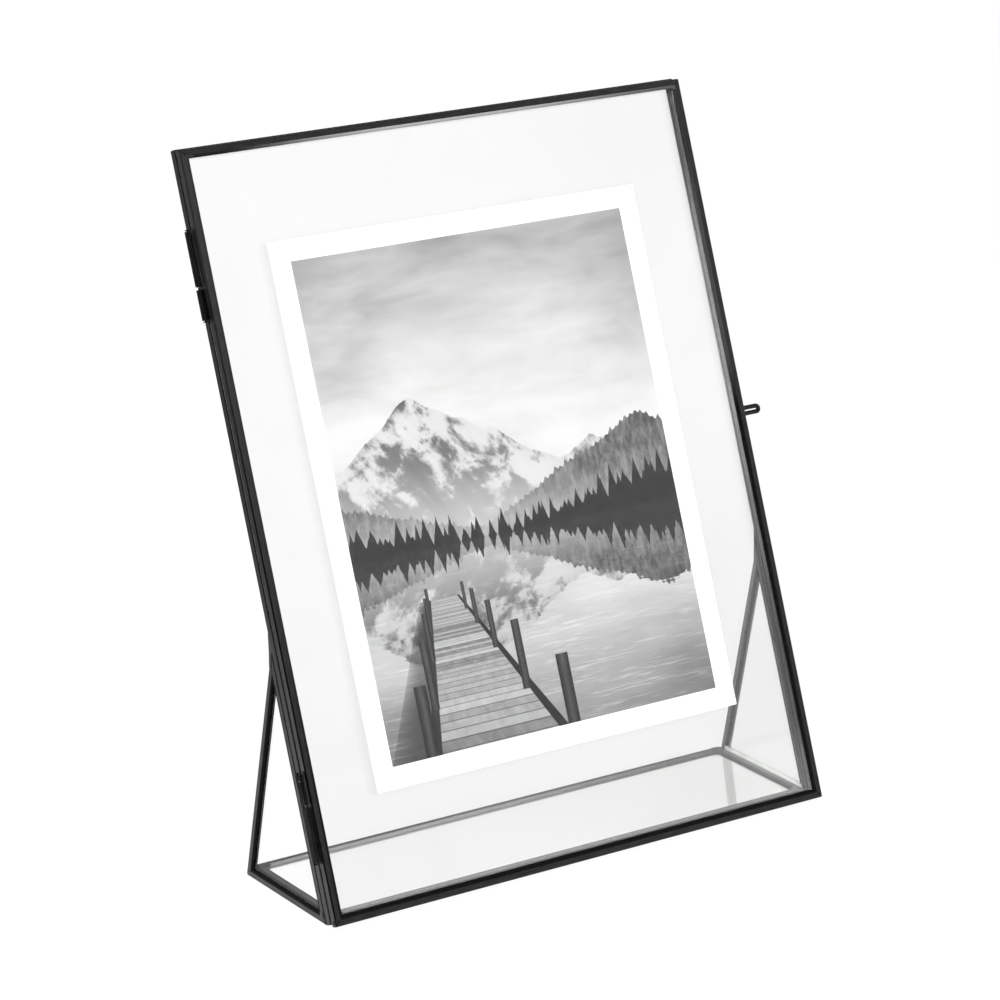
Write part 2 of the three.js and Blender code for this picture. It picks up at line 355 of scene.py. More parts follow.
def lined_metal():
    """The back leaf's channel: black outside, lined with grey sealant inside, with painted light by height.
    """
    shader = Shader("back_metal")
    x, n, s = shader.leaf_axes()
    inside = (n < -0.42) * (x.size() < HALF_WIDTH - 0.5) * (s > 0.5) * (s < LEAF_HEIGHT - 0.5)
    lumps = shader.noise(scale=0.9, detail=5)
    streaks = shader.noise(scale=0.05, detail=3)
    # The sealant's grey carries painted light by height.
    lit_seal = lining_with_painted_light(s) * streaks.ramp(0.25, 0.75, 0.9, 1.1)
    black = lumps.ramp(0.3, 0.7, BLACK, WORN_BLACK)
    colour = shader.grey(inside.mix(black, lit_seal * lumps.ramp(0.3, 0.7, 0.85, 1.1)))
    rough = inside.mix(lumps.ramp(0.25, 0.75, 0.26, 0.38), 0.7)
    normal = shader.bump(lumps, 0.12, 0.05)
    return shader.finish(shader.principled(Base_Color=colour, Roughness=rough, IOR=1.38, Normal=normal))


def side_putty_look():
    """The side panels' sealant: black, with painted light where the right panel's meets its glass and the
    base.
    """
    shader = Shader("side_sealant")
    x, y, z = shader.axes()
    lumps = shader.noise(scale=1.4, detail=4)
    on_glass = (x < HALF_WIDTH - 0.72) * (x > HALF_WIDTH - 1.2)
    on_base = (z < CHANNEL_THICKNESS + 1.2) * (x < HALF_WIDTH - 1.2) * (x > 0)
    # Painted light: pale here, matched to the light through the glass beside it, fading up the glass edge.
    painted_light_by_glass = (on_glass * z.ramp(4, 9, 1.0, 0.3)).high(on_base) * lumps.ramp(0.3, 0.7, 0.63, 0.73)
    return sealant(shader, lumps, painted_light_by_glass + lumps.ramp(0.3, 0.7, 0.0015, 0.005), 0.62, 0.85)


def door_putty_look():
    """The door's sealant: black below, paler grey up the right stile and under the top rail, a touch paler up
    the left stile.
    """
    shader = Shader("door_sealant")
    x, n, s = shader.leaf_axes()
    lumps = shader.noise(scale=1.4, detail=4)
    top = (s > LEAF_HEIGHT - DOOR_DROP - 3.7) * x.ramp(-92, -20, 0.02, 1.0)
    top = top * x.ramp(20, 110, 0.36, 0.08)
    right = (x > HALF_WIDTH - 4.2) * s.ramp(148, 175, 0.0, 0.05) * s.ramp(225, 252, 1.0, 0.5)
    left = (x < 5 - HALF_WIDTH) * s.ramp(30, 130, 0.0, 0.02)
    black = lumps.ramp(0.3, 0.7, 0.0015, 0.006) + left
    paler_grey = top.high(right) * lumps.ramp(0.25, 0.75, 0.88, 1.08)
    return sealant(shader, lumps, paler_grey + black, 0.55, 0.8)


def solder(name, worn):
    """Solder under the black patina, or bright where it is worn."""
    shader = Shader(name)
    lumps = shader.noise(scale=1.1, detail=4)
    spots = shader.noise(scale=0.9, detail=2).ramp(worn, worn + 0.06)
    colour = shader.tint(spots, (0.014, 0.014, 0.0142), (0.62, 0.61, 0.58))
    rough = lumps.ramp(0.3, 0.7, 0.28, 0.5)
    normal = shader.bump(lumps, 0.4, 0.15)
    return shader.finish(shader.principled(Base_Color=colour, Roughness=rough, Metallic=spots, Normal=normal))


def corner_solder(name, gloss, dark, light, along=(1, 1, 1)):
    """A touch of solder over a corner, dulled by the patina and heat-tinted."""
    shader = Shader(name)
    lumps = shader.noise(shader.stretched(*along), scale=1.3, detail=5)
    patches = shader.noise(scale=0.7, detail=2)
    colour = shader.tint((lumps * 0.6 + patches * 0.4).ramp(0.35, 0.65), dark, light)
    rough = patches.ramp(0.3, 0.7, 0.36, 0.55)
    normal = shader.bump(lumps, 0.5, 0.12)
    return shader.finish(shader.principled(Base_Color=colour, Roughness=rough, IOR=gloss, Normal=normal))


def bare_wire():
    """Drawn wire: bright in worn spots between the knuckles, black elsewhere."""
    shader = Shader("bare_wire")
    x, n, s = shader.leaf_axes()
    drawn = shader.noise(shader.stretched(6, 6, 0.5), scale=0.8, detail=4)
    away = (s - UPPER_KNUCKLE_GAP).size().low((s - LOWER_KNUCKLE_GAP).size())
    worn = shader.noise(scale=0.8, detail=4).ramp(0.52, 0.64) * away.ramp(0.7, 1.1, 1.0, 0.0)
    colour = shader.tint(worn, (0.03, 0.029, 0.028), (0.5, 0.49, 0.46))
    rough = worn.ramp(0, 1, 0.5, 0.3)
    normal = shader.bump(drawn, 0.25, 0.04)
    return shader.finish(shader.principled(Base_Color=colour, Roughness=rough, Metallic=1.0, Normal=normal))


# Glass

CLEAREST_HAZE = 0.008
SHADE_OF_PANE = (0.96, 0.97, 0.96, 1)


def painted_print_shadow(x, s):
    """The soft shadow that the print leaves on the pane behind it, painted into the pane's tint, widest along
    its left edge.
    """
    side, head = PRINT_WIDTH / 2, PRINT_BOTTOM + PRINT_HEIGHT
    beside = s.ramp(PRINT_BOTTOM - 1.2, PRINT_BOTTOM + 0.8) * s.ramp(head - 0.8, head + 1.2, 1.0, 0.0)
    across = x.ramp(-side - 2.0, -side) * x.ramp(side, side + 1.2, 1.0, 0.0)
    left = x.ramp(-side - 4.6, -side + 0.6, 0.0, 0.8) * (x < -side + 0.5) * beside
    right = x.ramp(side + 0.3, side + 1.9, 0.17, 0.0) * (x > side) * beside
    under = s.ramp(PRINT_BOTTOM - 2.4, PRINT_BOTTOM, 0.0, 0.26) * (s < PRINT_BOTTOM) * across
    over = s.ramp(head, head + 1.6, 0.36, 0.0) * (s > head) * across
    return left.high(right).high(under).high(over)


def clear_glass(name, ior, tint, darkening=0.0):
    """Float glass with faint smudge marks. Given a darkening, it also has painted shade to the right and at
    the foot, and a painted shadow round the print. Lamps reach what lies behind it."""
    shader = Shader(name)
    smudges_and_shade = shader.noise(scale=0.045, detail=5, roughness=0.6).ramp(0.45, 0.8)
    waves = shader.noise(scale=0.012, detail=1)
    if darkening:
        x, n, s = shader.leaf_axes()
        # Painted shade: the pane greys to the right, least about 175 mm up its slope, and greys at its foot.
        away = x.ramp(0, 80) * (s - 175).size().ramp(25, 75, 0.2, 1.0) * s.ramp(15, 50, 0.7, 1.0)
        away = away + s.ramp(30, 110, 0.35, 0.0)
        # Smudges, painted shade and the painted shadow round the print, together.
        smudges_and_shade = (smudges_and_shade * 0.3 + away * 0.7).low(1.0) * 0.45 + painted_print_shadow(x, s)
    else:
        darkening = CLEAREST_HAZE
    colour = shader.tint(
        smudges_and_shade, (tint, tint * 1.003, tint), (tint - darkening, tint - darkening, tint - darkening * 1.12))
    glass = shader.principled(
        Base_Color=colour,
        Roughness=smudges_and_shade * 0.012,
        IOR=ior,
        Transmission_Weight=1.0,
        Normal=shader.bump(waves, 0.02, 0.5),
    )
    tree = shader.tree
    clear = tree.nodes.new("ShaderNodeBsdfTransparent")
    clear.inputs["Color"].default_value = SHADE_OF_PANE
    path = tree.nodes.new("ShaderNodeLightPath")
    choice = tree.nodes.new("ShaderNodeMixShader")
    tree.links.new(path.outputs["Is Shadow Ray"], choice.inputs[0])
    tree.links.new(glass.outputs[0], choice.inputs[1])
    tree.links.new(clear.outputs[0], choice.inputs[2])
    return shader.finish(choice)


# The print: a generic black and white view of a lake between hills, with a jetty.

HORIZON = 0.40
PICTURE_ASPECT = (PRINT_WIDTH - 2 * PRINT_BORDER) / (PRINT_HEIGHT - 2 * PRINT_BORDER)

# The jetty runs to a point just under the horizon. Its sizes grow with the depth below that point.
JETTY_POINT = HORIZON - 0.015
JETTY_X, JETTY_SLANT = 0.17, 0.22
JETTY_HALF_WIDTH, JETTY_EDGE = 0.36, 0.03
JETTY_END = 0.085
POST_ROWS = (0.105, 0.135, 0.185, 0.27, 0.42)


def hill_line(shader, a, peaks, rough_scale, rough_height, seed):
    """Height of a ridge over the picture's foot: the highest of several slopes, roughened."""
    line = None
    for middle, top, slope in peaks:
        peak = top - (a - middle).size() * slope
        line = peak if line is None else line.high(peak)
    rough = shader.noise(shader.join(a, seed, 0.0), scale=rough_scale, detail=9, roughness=0.6)
    return line + (rough - 0.5) * rough_height


def pine_line(shader, a, base, count, height, seed):
    """Pointed tops of a row of pines along a line."""
    cell = (a * count + seed).floor()
    across = ((a * count + seed).part() - 0.5).size() * 2
    tall = shader.speckle(shader.join(cell, seed, 0.0)).ramp(0, 1, 0.35, 1.0)
    needles = shader.noise(shader.join(a, seed, 1.0), scale=count * 2.2, detail=4, roughness=0.75)
    return base + (1 - across.power(0.8)) * tall * height + (needles - 0.5) * height * 0.45


def land(shader, a, v):
    """Tone of the sky, hills and pines at a place in the picture."""
    place = shader.join(a, v, 0.0)
    cloud = shader.noise(shader.join(a, v * 2.6, 3.0), scale=3.1, detail=8, roughness=0.58, distortion=0.35)
    wisps = shader.noise(shader.join(a * 0.8, v * 4.2, 7.0), scale=6.5, detail=7, roughness=0.62)
    sky = v.ramp(HORIZON, 1.0, 0.86, 0.5) + (cloud - 0.5) * 0.55 + (wisps - 0.5) * 0.14

    far = hill_line(shader, a, ((0.20, 0.70, 0.62), (0.37, 0.61, 0.55), (0.60, 0.56, 0.5)), 5.0, 0.09, 11.0)
    crags = shader.noise(place, scale=11, detail=10, roughness=0.66, distortion=0.5)
    facets = shader.noise(shader.join(a * 1.5 + v, v * 0.8, 4.0), scale=13, detail=8, roughness=0.6)
    below_top = far - v
    snow = (crags * 0.6 + facets * 0.4 - below_top * 0.55).ramp(0.41, 0.5)
    rock = snow.mix(0.25, 0.66) + (facets - 0.5) * 0.25
    rock = v.ramp(HORIZON, 0.62, 0.62, 0.0).mix(rock, 0.74)
    tone = (v < far).mix(sky, rock)

    middle = hill_line(shader, a, ((0.72, 0.585, 0.42), (0.0, 0.50, 0.26)), 7.0, 0.05, 23.0)
    middle = pine_line(shader, a, middle, 74.0, 0.012, 5.3)
    woods = shader.noise(shader.join(a * 2.0, v * 0.8, 9.0), scale=34, detail=6, roughness=0.7)
    slope = woods.ramp(0.3, 0.72, 0.13, 0.36)
    slope = v.ramp(HORIZON, 0.53, 0.6, 0.0).mix(slope, 0.6)
    tone = (v < middle).mix(tone, slope)

    shore = hill_line(shader, a, ((0.80, 0.455, 0.14), (0.02, 0.425, 0.12)), 9.0, 0.012, 31.0)
    tall = pine_line(shader, a, shore, 33.0, 0.062, 2.7).high(pine_line(shader, a, shore, 47.0, 0.045, 8.1))
    bark = shader.noise(shader.join(a * 3.0, v, 2.0), scale=60, detail=5, roughness=0.7)
    near = bark.ramp(0.35, 0.75, 0.012, 0.12)
    return (v < tall).mix(tone, near)


def lake(shader, a, v):
    """Tone of the water: the view upside down, shaken by ripples, darker towards the viewer."""
    depth = HORIZON - v
    coarse = shader.noise(shader.join(a * 2.2, v * 30, 5.0), scale=2.6, detail=5)
    fine = shader.noise(shader.join(a * 9, v * 150, 1.0), scale=2.0, detail=3)
    shake = (coarse - 0.5) * (depth * 0.16 + 0.006) + (fine - 0.5) * (depth * 0.06 + 0.003)
    mirrored = land(shader, a + (coarse - 0.5) * depth * 0.05, HORIZON + depth * 1.1 + shake)
    glints = (fine * 0.6 + coarse * 0.4).ramp(0.5, 0.68) * depth.ramp(0.0, 0.4, 0.06, 0.2)
    return mirrored * depth.ramp(0.0, 0.42, 0.86, 0.58) + glints + 0.03


def jetty(shader, a, v, tone):
    """Planks that run from the picture's foot out over the water, with posts and their reflections."""
    depth = JETTY_POINT - v
    run = 1 / depth.high(0.02)
    middle = JETTY_X + depth * JETTY_SLANT
    side = (a - middle) / depth.high(0.001)
    planks = (run * 6.5).part()
    board = (run * 6.5).floor()
    worn = shader.speckle(shader.join(board, 0.5, 0.5))
    grain = shader.noise(shader.join(side * 3.0, board * 3.7, run * 0.8), scale=5.0, detail=8, roughness=0.7)
    deck = worn.mix(0.3, 0.56) + (grain - 0.5) * 0.34
    deck = deck * planks.ramp(0.0, 0.07, 0.08, 1.0) * planks.ramp(0.9, 1.0, 1.0, 0.5)
    near = depth > JETTY_END
    on_deck = (side.size() < JETTY_HALF_WIDTH) * near
    edge = ((side.size() - JETTY_HALF_WIDTH - JETTY_EDGE).size() < JETTY_EDGE) * near
    shade = (side + 0.5).size().ramp(0.0, 0.3, 0.45, 1.0) * (v < HORIZON)
    tone = tone * (near * (side.size() < JETTY_HALF_WIDTH + 0.3)).mix(1.0, shade)
    tone = on_deck.mix(tone, deck)
    tone = edge.mix(tone, 0.035)
    for hand in (-1, 1):
        for row in POST_ROWS:
            foot = JETTY_POINT - row
            post = JETTY_X + row * JETTY_SLANT + hand * row * (JETTY_HALF_WIDTH + 0.04)
            thick = row * 0.035
            near_post = (a - post).size()
            knots = shader.noise(shader.join(a * 40, v * 6, row), scale=3.0, detail=4)
            wood = near_post.ramp(0.0, thick, 0.16, 0.03) + (knots - 0.5) * 0.1
            up = (near_post < thick) * (v > foot - row * 0.1) * (v < foot + row * 0.42)
            tone = up.mix(tone, wood)
            sunk = (near_post + (knots - 0.5) * row * 0.05) < thick
            down = sunk * (v < foot - row * 0.1) * (v > foot - row * 0.55) * (1 - on_deck)
            tone = down.mix(tone, 0.08)
    return tone


def print_material():
    """Matt photo paper: white border, the picture on its front face only."""
    shader = Shader("print_paper")
    x, n, s = shader.leaf_axes()
    tall = PRINT_HEIGHT - 2 * PRINT_BORDER
    a = x / tall + PICTURE_ASPECT / 2
    v = (s - PRINT_BOTTOM - PRINT_BORDER) / tall
    tone = (v > HORIZON).mix(lake(shader, a, v), land(shader, a, v))
    tone = jetty(shader, a, v, tone)
    film = shader.noise(scale=7.0, detail=2)
    corners = ((a - PICTURE_ASPECT / 2).power(2) + (v - 0.5).power(2)).ramp(0.12, 0.5, 1.0, 0.8)
    tone = tone * corners * film.ramp(0.25, 0.75, 0.9, 1.08)
    tone = tone.ramp(0.0, 0.95, 0.006, 0.64)
    inside = (a > 0) * (a < PICTURE_ASPECT) * (v > 0) * (v < 1) * (n < PRINT_MIDDLE)
    fibre = shader.noise(scale=2.5, detail=5)
    paper = fibre.ramp(0.3, 0.7, 0.915, 0.935)
    colour = shader.grey(inside.mix(paper, tone))
    rough = fibre.ramp(0.3, 0.7, 0.5, 0.58)
    normal = shader.bump(fibre, 0.03, 0.05)
    return shader.finish(shader.principled(Base_Color=colour, Roughness=rough, IOR=1.25, Normal=normal))


# Finishes of the CAD nodes

slope_metal = black_metal("black_metal")
rail_metal = black_metal("black_metal_across", ALONG_X)
side_metal = black_metal("black_metal_side", ALONG_Y)
hinge_metal = black_metal("hinge_metal", ALONG_SLOPE, 1.3, 0.002, 0.006)
# The lower hinge's black is a paler copy of the upper hinge's.
paler_hinge_metal = black_metal("paler_hinge_metal", ALONG_SLOPE, 1.35, 0.008, 0.024)
# The rear rail's finish, with painted light towards its right.
rear_rail_metal = black_metal("rear_rail_metal", ALONG_X, 1.06, 0.004, 0.012, rear_painted_light)
# Painted light: a paler copy of the black patina, paler still near the table.
pale_lit_metal = black_metal("pale_lit_metal", ALONG_SLOPE, 1.3, 0.05, 0.085, low_painted_light)
back_metal = lined_metal()
wire = bare_wire()

FINISHES = {
    "door_left_stile": stile_metal(),
    "door_top_rail": rail_metal,
    "door_bottom_rail": rail_metal,
    "door_glass": clear_glass("coated_glass", 1.3, 0.985),
    "back_left_stile": back_metal,
    "back_top_rail": back_metal,
    "back_right_stile": back_metal,
    "back_bottom_rail": back_metal,
    "back_glass": clear_glass("clear_glass", 1.6, 0.915, 0.107),
    "print_card": print_material(),
    "upper_hinge_back_leaf": hinge_metal,
    "upper_hinge_door_leaf": hinge_metal,
    "upper_hinge_pin": wire,
    "lower_hinge_back_leaf": paler_hinge_metal,
    "lower_hinge_door_leaf": paler_hinge_metal,
    "lower_hinge_pin": wire,
    "base_front_rail": pale_lit_metal,
    "base_right_rail": pale_lit_metal,
    "base_rear_rail": rear_rail_metal,
    "base_left_rail": black_metal("base_left_metal", ALONG_Y, 1.08, 0.012, 0.03),
    "base_glass": clear_glass("thin_glass", 1.62, 0.965),
    "left_side_bottom_bar": side_metal,
    "left_side_glass": clear_glass("side_glass", 1.2, 0.97),
    "right_side_bottom_bar": side_metal,
    "right_side_front_bar": pale_lit_metal,
    # Painted light: the far rear bar is a much paler copy of the black patina.
    "right_side_rear_bar": black_metal("far_bar_lit_metal", ALONG_SLOPE, 1.14, 0.095, 0.125),
    "right_side_glass": clear_glass("far_side_glass", 1.2, 0.956),
}
for name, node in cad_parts.items():
    node.data.materials.clear()
    node.data.materials.append(FINISHES.get(name, slope_metal))


# Pieces of the scene


def mesh_piece(name, points, faces, material, body, smooth=True):
    """A mesh from points in millimetres, riding on a body."""
    mesh = bpy.data.meshes.new(name)
    mesh.from_pydata([Vector(p) * MM for p in points], [], faces)
    shell = bmesh.new()
    shell.from_mesh(mesh)
    bmesh.ops.recalc_face_normals(shell, faces=shell.faces)
    shell.to_mesh(mesh)
    shell.free()
    mesh.materials.append(material)
    mesh.polygons.foreach_set("use_smooth", [smooth] * len(mesh.polygons))
    mesh.update()
    piece = bpy.data.objects.new(name, mesh)
    bpy.context.scene.collection.objects.link(piece)
    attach(piece, body)
    return piece


# Section of the putty: how far in from the panel's edge, and how deep below its face. The free points are
# those that the bead's waves move, and the edge is the one that ends on the glass.
PUTTY_SECTION = (
    (2.2, 0.0), (2.26, -0.03), (2.6, -0.04), (2.95, 0.13), (3.27, 0.33), (3.55, 0.785),
    (2.5, 0.785), (2.5, 0.515), (3.19, 0.515), (3.17, 0.36), (2.58, 0.02), (2.22, 0.02),
)
PUTTY_FREE = (0, 1, 4, 5, 11)
PUTTY_EDGE = 5
PUTTY_PITCH = 2.5
PUTTY_WAVE = 0.018


def putty_bead(name, corners, inward, body, seed, look, spread=(0, 0, 0, 0)):
    """A bead round the inside of one face of a panel. The corners run round the panel's face. The spread
    moves the bead's edge over the glass, side by side."""
    rng = random.Random(seed)
    count = len(corners)
    sections = []
    for i, corner in enumerate(corners):
        following = corners[(i + 1) % count]
        before = corners[i - 1]
        after = corners[(i + 2) % count]
        along = (following - corner).normalized()
        across = inward.cross(along).normalized()
        if across.dot(before - corner) < 0:
            across.negate()
        start_angle = along.angle(before - corner)
        end_angle = (-along).angle(after - following)
        length = (following - corner).length
        steps = max(2, round(length / PUTTY_PITCH))
        for k in range(steps):
            share = k / steps
            wave = 0.0 if k == 0 else rng.uniform(-PUTTY_WAVE, PUTTY_WAVE)
            ring = []
            for j, (inset, depth) in enumerate(PUTTY_SECTION):
                reach = inset + (wave if j in PUTTY_FREE else 0)
                if j == PUTTY_EDGE:
                    reach += spread[i]
                begin = reach / math.tan(start_angle / 2)
                end = length - reach / math.tan(end_angle / 2)
                point = corner + along * (begin + (end - begin) * share) + across * reach + inward * depth
                ring.append(point)
            sections.append(ring)
    size = len(PUTTY_SECTION)
    points = [p for ring in sections for p in ring]
    faces = []
    for i in range(len(sections)):
        j = (i + 1) % len(sections)
        for k in range(size):
            m = (k + 1) % size
            faces.append((i * size + k, i * size + m, j * size + m, j * size + k))
    mesh_piece(name, points, faces, look, body)


def leaf_corners(n, drop):
    return [
        leaning(x, n, s - drop)
        for x, s in ((-HALF_WIDTH, 0), (HALF_WIDTH, 0), (HALF_WIDTH, LEAF_HEIGHT), (-HALF_WIDTH, LEAF_HEIGHT))
    ]


back_normal = (leaning(0, 1, 0) - leaning(0, 0, 0)).normalized()
upward = Vector((0, 0, 1))
DOOR_SPREAD = (0.3, 0, -0.25, -0.2)
door_corners = leaf_corners(DOOR_FRONT, DOOR_DROP)
putty_bead("door_putty", door_corners, back_normal, "door", 1, door_putty_look(), DOOR_SPREAD)
putty_bead("back_putty", leaf_corners(0, 0), -back_normal, "stand", 2, back_putty_look())

base_sealant = base_putty_look()
BASE_OUTLINE = (
    (-BASE_HALF_WIDTH, BASE_FRONT), (BASE_HALF_WIDTH, BASE_FRONT),
    (BASE_HALF_WIDTH, BASE_REAR), (-BASE_HALF_WIDTH, BASE_REAR),
)
OFF_TABLE = 0.04
for name, height, inward, seed in (
    ("base_putty_under", OFF_TABLE, upward, 3),
    ("base_putty_top", CHANNEL_THICKNESS, -upward, 6),
):
    corners = [Vector((x, y, height)) for x, y in BASE_OUTLINE]
    putty_bead(name, corners, inward, "stand", seed, base_sealant)


def behind_leaf(x, s):
    return leaning(x, JOINT_GAP, s)


side_putty = side_putty_look()
slope_at_table = -(LEAF_LIFT - JOINT_GAP * math.sin(LEAN)) / math.cos(LEAN)
for side, sign in (("left", -1), ("right", 1)):
    for face, depth in (("outer", 0.0), ("inner", CHANNEL_THICKNESS)):
        x = sign * (HALF_WIDTH - depth)
        inward = Vector((-sign if face == "outer" else sign, 0, 0))
        corners = [behind_leaf(x, slope_at_table), Vector((x, BASE_REAR, 0)), behind_leaf(x, APEX)]
        putty_bead(f"{side}_putty_{face}", corners, inward, "stand", 10 + sign + int(depth), side_putty)


# The pull's wire is thick with solder and paint, most of all where it enters the stile.

PULL_HEIGHT = PULL_FROM_DOOR_BOTTOM - DOOR_DROP
COAT_THICKNESS = 0.25
PULL_TIP = HALF_WIDTH + PULL_REACH + COAT_THICKNESS
PULL_RADIUS = 0.86
PULL_BEND = 1.08
PULL_SIDES, PULL_STEPS, PULL_TURNS = 16, 22, 16
ROOT_SWELL, ROOT_FADE, PULL_WAVE = 0.32, 0.45, 0.02


def pull_coat():
    middle = DOOR_FRONT + CHANNEL_THICKNESS / 2
    bend_x = PULL_TIP - PULL_RADIUS - PULL_BEND
    root_x = HALF_WIDTH - 0.1
    path = []
    for i in range(PULL_STEPS):
        x = root_x + (bend_x - root_x) * i / PULL_STEPS
        path.append((x, -PULL_BEND, (0, -1)))
    for i in range(PULL_TURNS + 1):
        turn = math.pi * (i / PULL_TURNS - 0.5)
        out = (math.cos(turn), math.sin(turn))
        path.append((bend_x + PULL_BEND * out[0], PULL_BEND * out[1], out))
    for i in range(1, PULL_STEPS + 1):
        x = bend_x + (root_x - bend_x) * i / PULL_STEPS
        path.append((x, PULL_BEND, (0, 1)))
    rng = random.Random(41)
    points, faces = [], []
    for x, s, out in path:
        swell = PULL_RADIUS + ROOT_SWELL * math.exp(-(x - root_x) / ROOT_FADE)
        swell += rng.uniform(-PULL_WAVE, PULL_WAVE)
        for k in range(PULL_SIDES):
            turn = 2 * math.pi * k / PULL_SIDES
            across, along = math.cos(turn) * swell, math.sin(turn) * swell
            points.append(leaning(x + out[0] * along, middle + across, PULL_HEIGHT + s + out[1] * along))
    for i in range(len(path) - 1):
        this, after = i * PULL_SIDES, (i + 1) * PULL_SIDES
        for k in range(PULL_SIDES):
            m = (k + 1) % PULL_SIDES
            faces.append((this + k, this + m, after + m, after + k))
    last = (len(path) - 1) * PULL_SIDES
    faces.append(tuple(reversed(range(PULL_SIDES))))
    faces.append(tuple(last + k for k in range(PULL_SIDES)))
    mesh_piece("pull_coat", points, faces, slope_metal, "door")


pull_coat()


def upright(x, y, z):
    return Vector((x, y, z))


def blob(name, centre, radii, material, body, seed, place=leaning, rings=10, sides=14):
    """A lump of solder: a ball squashed along the leaf's axes, or the frame's, and dented at random."""
    rng = random.Random(seed)
    dents = [(rng.uniform(0, 6.28), rng.uniform(0, 3.14), rng.uniform(-0.16, 0.16)) for _ in range(6)]
    points, faces = [], []
    for i in range(rings + 1):
        tilt = math.pi * i / rings
        for k in range(sides if 0 < i < rings else 1):
            turn = 2 * math.pi * k / sides
            dent = sum(d * math.cos(2 * turn + a) * math.sin(tilt + b) for a, b, d in dents)
            grow = 1 + dent * math.sin(tilt)
            points.append(place(
                centre[0] + radii[0] * grow * math.sin(tilt) * math.cos(turn),
                centre[1] + radii[1] * grow * math.sin(tilt) * math.sin(turn),
                centre[2] + radii[2] * math.cos(tilt),
            ))
    for k in range(sides):
        m = (k + 1) % sides
        faces.append((0, 1 + m, 1 + k))
        for i in range(rings - 2):
            a, b = 1 + i * sides, 1 + (i + 1) * sides
            faces.append((a + k, a + m, b + m, b + k))
        a = 1 + (rings - 2) * sides
        faces.append((a + k, a + m, len(points) - 1))
    mesh_piece(name, points, faces, material, body)


SPECKS = (
    ("upper_speck_a", (-109.55, -4.15, 227.2), (0.3, 0.22, 0.4), "stand", 51),
    ("upper_speck_b", (-108.75, -4.75, 226.75), (0.34, 0.2, 0.28), "stand", 52),
    ("lower_speck_a", (-109.2, -4.42, 51.6), (0.2, 0.14, 0.26), "door", 53),
    ("lower_speck_b", (-108.35, -4.9, 51.3), (0.22, 0.16, 0.22), "door", 54),
)
worn_solder = solder("worn_solder", 0.5)
for name, centre, radii, body, seed in SPECKS:
    blob(name, centre, radii, worn_solder, body, seed)


# Solder over the door's corner at the hinges, the sides' front corners and the base's rear corners
door_solder = corner_solder("door_solder", 1.15, (0.008, 0.0075, 0.01), (0.024, 0.0215, 0.029))
base_solder = corner_solder("base_solder", 1.06, (0.006, 0.006, 0.006), (0.018, 0.0175, 0.017))
front_solder = corner_solder("front_solder", 1.3, (0.012, 0.0115, 0.011), (0.05, 0.048, 0.044), ALONG_SLOPE)
CORNER_RINGS, CORNER_SIDES = 14, 20
blob(
    "door_corner_solder", (1.3 - HALF_WIDTH, -5.4, 1.4 - DOOR_DROP), (1.6, 1.75, 1.5),
    door_solder, "door", 71, leaning, CORNER_RINGS, CORNER_SIDES)
# On the right, the rear corner's solder takes the rear rail's finish, painted light included.
for side, sign, rear_solder in (("left", -1, base_solder), ("right", 1, rear_rail_metal)):
    blob(
        f"{side}_front_solder", (sign * (HALF_WIDTH - 0.1), 1.9, 3.6), (0.34, 1.5, 2.0),
        front_solder, "stand", 73 + sign, leaning, CORNER_RINGS, CORNER_SIDES)
    rear_corner = (sign * (BASE_HALF_WIDTH - 2.9), BASE_REAR - 2.6, CHANNEL_THICKNESS - 0.06)
    blob(
        f"{side}_base_solder", rear_corner, (3.0, 2.3, 0.3),
        rear_solder, "stand", 81 + sign, upright, CORNER_RINGS, CORNER_SIDES)


FILLET_UP, FILLET_DOWN, FILLET_BOW, FILLET_STEPS = 6.4, 7.0, 0.16, 8


def apex_fillet(name, sign):
    """Solder in the corner between a side panel's rear bar and the back leaf."""
    outer, inner = sign * (HALF_WIDTH - 0.06), sign * (HALF_WIDTH - CHANNEL_THICKNESS + 0.06)
    apex = behind_leaf(0, APEX)
    down = (Vector((0, BASE_REAR, 0)) - apex).normalized()
    top = leaning(0, -0.02, APEX + FILLET_UP)
    low = apex + down * FILLET_DOWN
    bow = (top + low) / 2 + (apex - (top + low) / 2) * FILLET_BOW
    inside = [low + Vector((0, -0.5, 0)), apex + Vector((0, -0.5, -0.6)), leaning(0, -0.35, APEX + 1)]
    profile = [top]
    for i in range(1, FILLET_STEPS):
        t = i / FILLET_STEPS
        profile.append(top * (1 - t) ** 2 + bow * 2 * t * (1 - t) + low * t ** 2)
    profile += [low] + inside
    rng = random.Random(60 + sign)
    points = []
    for x, shrink in ((outer, 0.12), (outer - sign * 0.25, 0.0), (inner + sign * 0.25, 0.0), (inner, 0.12)):
        middle = sum(profile, Vector()) / len(profile)
        for p in profile:
            q = p + (middle - p).normalized() * (shrink + rng.uniform(0, 0.02))
            points.append(Vector((x, q.y, q.z)))
    size = len(profile)
    faces = [tuple(range(size)), tuple(3 * size + k for k in reversed(range(size)))]
    for i in range(3):
        for k in range(size):
            m = (k + 1) % size
            faces.append((i * size + k, (i + 1) * size + k, (i + 1) * size + m, i * size + m))
    mesh_piece(name, points, faces, dark_solder, "stand", smooth=False)


dark_solder = solder("dark_solder", 0.74)
apex_fillet("left_apex_fillet", -1)
apex_fillet("right_apex_fillet", 1)

# Stage, light and camera

FLOOR_SIZE = 4.0
floor_mesh = bpy.data.meshes.new("floor")
half = FLOOR_SIZE / 2
floor_corners = [(-half, -half, 0), (half, -half, 0), (half, half, 0), (-half, half, 0)]
floor_mesh.from_pydata(floor_corners, [], [(0, 1, 2, 3)])
floor = bpy.data.objects.new("floor", floor_mesh)
bpy.context.scene.collection.objects.link(floor)


